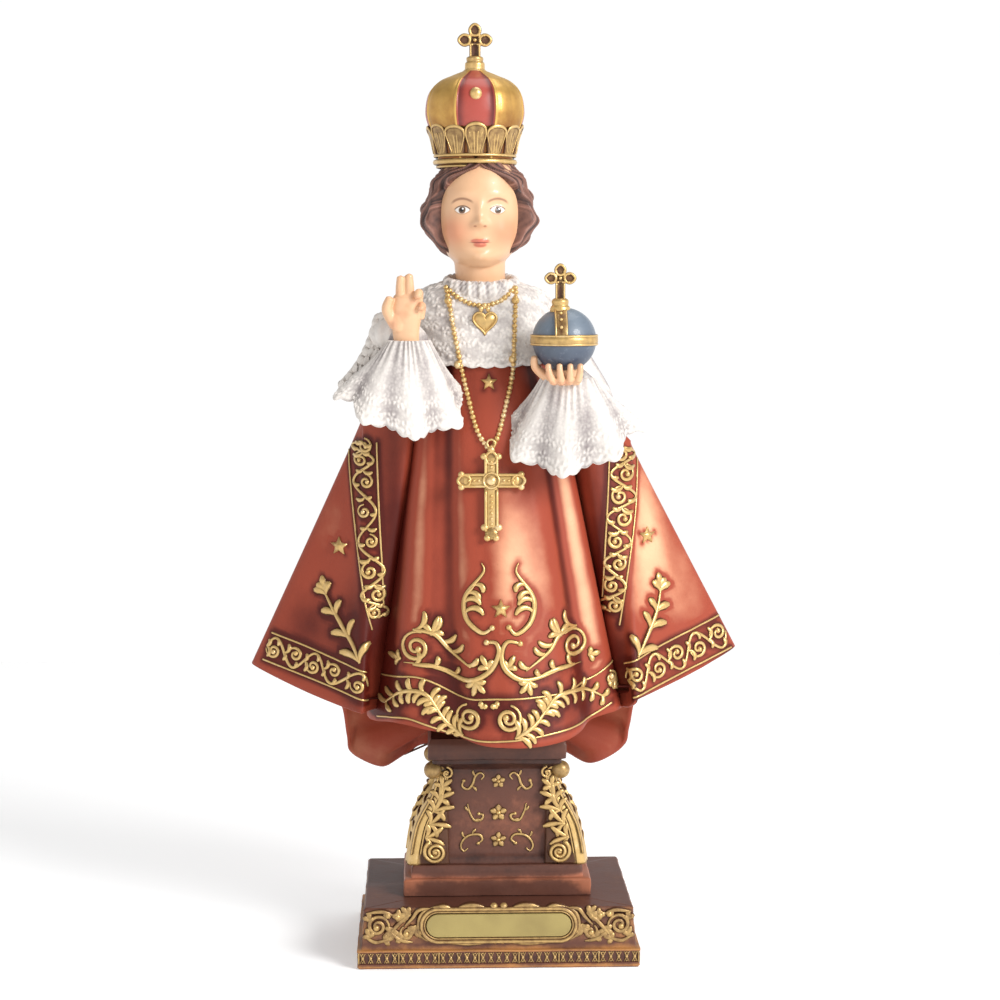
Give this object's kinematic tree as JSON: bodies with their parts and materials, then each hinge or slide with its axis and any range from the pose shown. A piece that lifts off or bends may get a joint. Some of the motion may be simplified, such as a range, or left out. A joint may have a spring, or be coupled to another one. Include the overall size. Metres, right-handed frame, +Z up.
{
  "type": "crowned child statue",
  "caption": "Standing crowned child in a flared robe and mantle, one hand raised, an orb in the other, on a bracketed pedestal and a relief plinth with a blank plate.",
  "frame": {"origin": "centre of the plinth's underside", "axes": "+Z up to the crown's cross, front of the statue towards -Y, +X towards the figure's left hand with the orb"},
  "size_m": [0.1625, 0.0754, 0.3056],
  "materials": {
    "robe_red": "satin antiqued paint",
    "lace_white": "matt paint with a mauve wash",
    "skin_paint": "satin flesh paint",
    "hair_brown": "satin paint with light dry brushing",
    "gilt": "gold paint with a brown wash",
    "orb_blue": "satin slate blue paint",
    "pedestal_brown": "satin brown paint",
    "plinth_brown": "satin brown paint under gold paint",
    "plate_brass": "brushed matt brass"
  },
  "bodies": {
    "root": {"figure": "robe_red", "pedestal": "pedestal_brown", "plinth": "plinth_brown", "nameplate": "plate_brass"}
  },
  "joints": []
}
